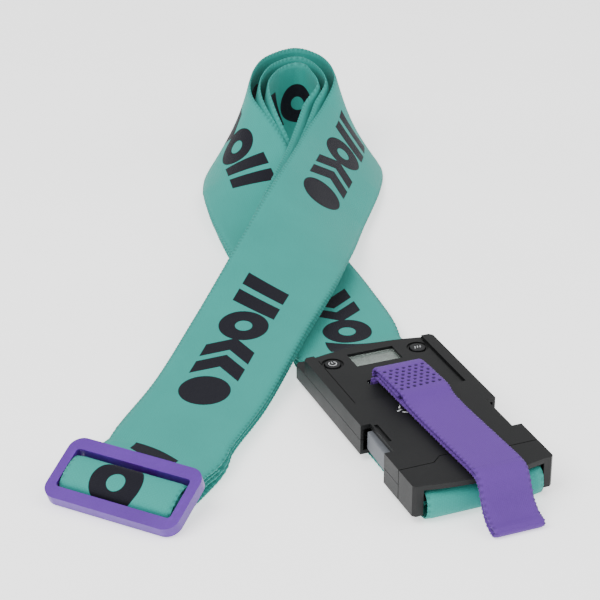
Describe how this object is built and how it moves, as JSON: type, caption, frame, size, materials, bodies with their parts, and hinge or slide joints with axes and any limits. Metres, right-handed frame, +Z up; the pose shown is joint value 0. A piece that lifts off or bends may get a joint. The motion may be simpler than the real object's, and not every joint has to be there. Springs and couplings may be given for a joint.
{
  "type": "luggage strap",
  "caption": "Folded luggage strap of wide woven webbing with a side-release buckle that holds a digital hand scale, a lifting handle and a tri-glide adjuster.",
  "frame": {"origin": "centre of the base of the laid-out strap, on the surface it lies on", "axes": "+Y from the lifting handle and the adjuster towards the far loop, +X to the right seen from the handle end, +Z up"},
  "size_m": [0.1967, 0.4003, 0.051],
  "materials": {
    "teal_webbing": "woven polyester with a satin sheen and a printed dark pattern",
    "purple_webbing": "woven polyester, matt",
    "purple_plastic": "moulded, semi-gloss",
    "black_plastic": "moulded with a fine spark-eroded grain",
    "button_plastic": "moulded, smooth",
    "steel": "plain",
    "aluminium": "machined",
    "circuit_board": "solder mask",
    "display_panel": "liquid crystal panel",
    "display_lens": "clear lens over the display",
    "lead_insulation": "insulated wire"
  },
  "bodies": {
    "scale_body": {"webbing_outer_run": "teal_webbing", "webbing_inner_run": "teal_webbing", "webbing_middle_run": "teal_webbing", "handle_anchor": "purple_webbing", "top_cover": "black_plastic", "bottom_shell": "black_plastic", "power_switch": "button_plastic", "unit_switch": "button_plastic", "driver_chip": "button_plastic", "shell_screw_1": "steel", "shell_screw_2": "steel", "shell_screw_3": "steel", "shell_screw_4": "steel", "load_yoke": "steel", "load_pin": "steel", "cell_screw_left": "steel", "cell_screw_right": "steel", "strap_pin": "steel", "coin_battery": "steel", "battery_contact_top": "steel", "battery_contact_side": "steel", "load_cell": "aluminium", "circuit_board": "circuit_board", "lcd_panel": "display_panel", "lcd_window": "display_lens", "load_cell_lead": "lead_insulation", "battery_lead": "lead_insulation"},
    "male_half": {"male_base": "black_plastic", "webbing_buckle_run": "teal_webbing"},
    "left_latch": {"left_latch_arm": "black_plastic"},
    "right_latch": {"right_latch_arm": "black_plastic"},
    "power_button": {"power_button": "button_plastic"},
    "unit_button": {"unit_button": "button_plastic"},
    "battery_cap": {"battery_cap": "black_plastic"},
    "handle": {"handle_lower_run": "purple_webbing", "handle_hanging_end": "purple_webbing", "handle_upper_run": "purple_webbing", "handle_lap": "purple_webbing"},
    "slider": {"slider_frame": "purple_plastic"}
  },
  "joints": [
    {"name": "male_slide", "type": "slide", "parent": "scale_body", "child": "male_half", "axis": [0.3795, -0.9252, 0], "range_m": [0, 0.04], "deforming": ["handle_hanging_end"]},
    {"name": "left_latch_flex", "type": "hinge", "parent": "male_half", "child": "left_latch", "pos_m": [0.04065, -0.17369, 0.01015], "axis": [0, 0, -1], "range_deg": [0, 6], "stiffness_Nm_per_rad": 0.5},
    {"name": "right_latch_flex", "type": "hinge", "parent": "male_half", "child": "right_latch", "pos_m": [0.08821, -0.15418, 0.01015], "axis": [0, 0, 1], "range_deg": [0, 6], "stiffness_Nm_per_rad": 0.5},
    {"name": "power_button_press", "type": "slide", "parent": "scale_body", "child": "power_button", "axis": [0, 0, -1], "range_m": [0, 0.0008], "stiffness_N_per_m": 500},
    {"name": "unit_button_press", "type": "slide", "parent": "scale_body", "child": "unit_button", "axis": [0, 0, -1], "range_m": [0, 0.0008], "stiffness_N_per_m": 500},
    {"name": "battery_cap_turn", "type": "hinge", "parent": "scale_body", "child": "battery_cap", "pos_m": [0.04474, -0.11592, 0.00445], "axis": [0, 0, 1], "range_deg": [0, 45]},
    {"name": "handle_swing", "type": "hinge", "parent": "scale_body", "child": "handle", "pos_m": [0.03867, -0.10112, 0.01725], "axis": [-0.9252, -0.3795, 0], "range_deg": [0, 90]},
    {"name": "slider_tilt", "type": "hinge", "parent": "scale_body", "child": "slider", "pos_m": [-0.06774, -0.17489, 0.00737], "axis": [0.8894, -0.4571, 0], "range_deg": [-3.5, 0]}
  ]
}
